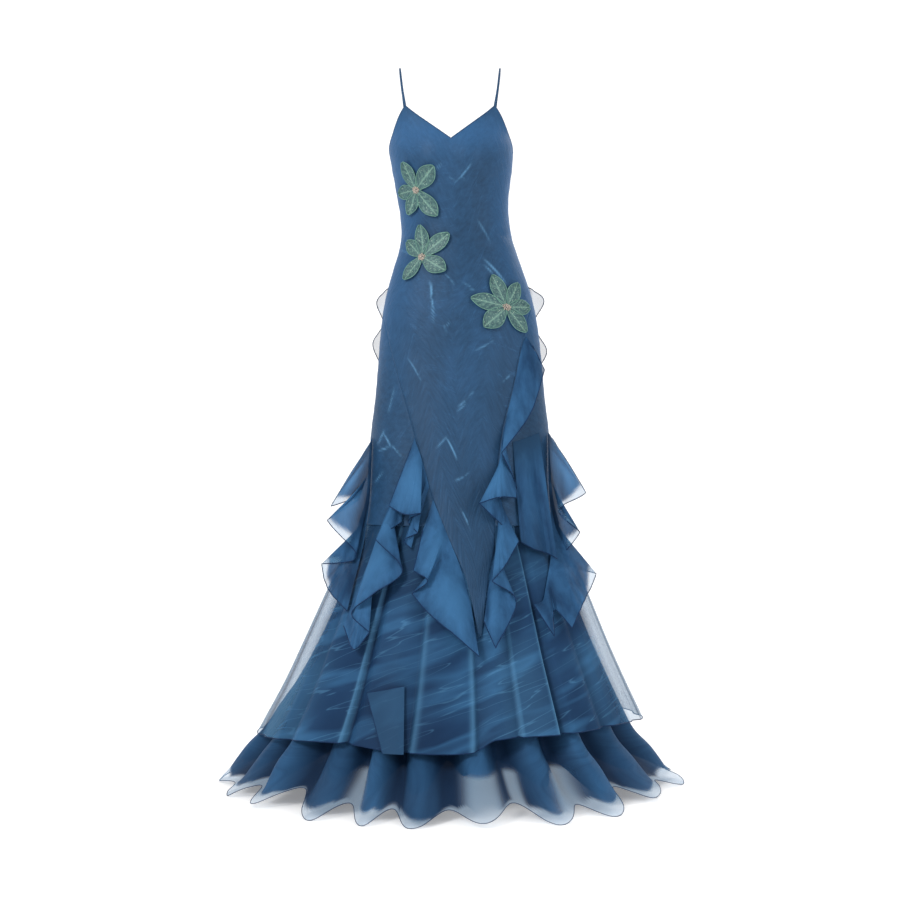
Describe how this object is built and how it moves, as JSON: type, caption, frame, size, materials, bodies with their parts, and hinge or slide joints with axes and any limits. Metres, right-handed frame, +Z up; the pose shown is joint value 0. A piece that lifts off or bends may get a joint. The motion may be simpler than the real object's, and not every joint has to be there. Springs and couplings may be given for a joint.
{
  "type": "sleeveless floor-length slip gown with cascading ruffles",
  "caption": "Hollow worn-shape slip gown with a V neck on thin straps, a pointed sheath, waterfall ruffles and sheer skirts that spread at the floor.",
  "frame": {"origin": "midway between the tops of the two straps, where shoulders hold the gown", "axes": "+Z up, the front faces -Y, +X to the right as seen from the front"},
  "size_m": [0.9525, 0.9552, 1.4885],
  "materials": {
    "sheath_satin": "soft low-sheen satin, mottled blue",
    "dyed_chiffon": "sheer, crinkle-dyed blue",
    "plain_chiffon": "sheer blue",
    "lining": "matte dark blue",
    "ruffle_chiffon": "sheer blue with rolled edges",
    "green_organza": "crisp green with a pale piped edge"
  },
  "bodies": {
    "root": {"front_panel": "sheath_satin", "back_panel": "sheath_satin", "side_front_left": "sheath_satin", "side_front_right": "sheath_satin", "side_back_right": "sheath_satin", "side_back_left": "sheath_satin", "strap_right": "sheath_satin", "strap_left": "sheath_satin", "overskirt_front": "dyed_chiffon", "overskirt_back": "dyed_chiffon", "underskirt_front": "plain_chiffon", "underskirt_back": "plain_chiffon", "lining_front": "lining", "lining_back": "lining", "ruffle_side_left": "ruffle_chiffon", "ruffle_front_left": "ruffle_chiffon", "ruffle_point_left": "ruffle_chiffon", "ruffle_centre": "ruffle_chiffon", "ruffle_point_right": "ruffle_chiffon", "ruffle_front_right": "ruffle_chiffon", "ruffle_side_right": "ruffle_chiffon", "ruffle_back_right": "ruffle_chiffon", "ruffle_back_left": "ruffle_chiffon", "flower_ribs": "green_organza", "flower_waist": "green_organza", "flower_hip": "green_organza"}
  },
  "joints": []
}
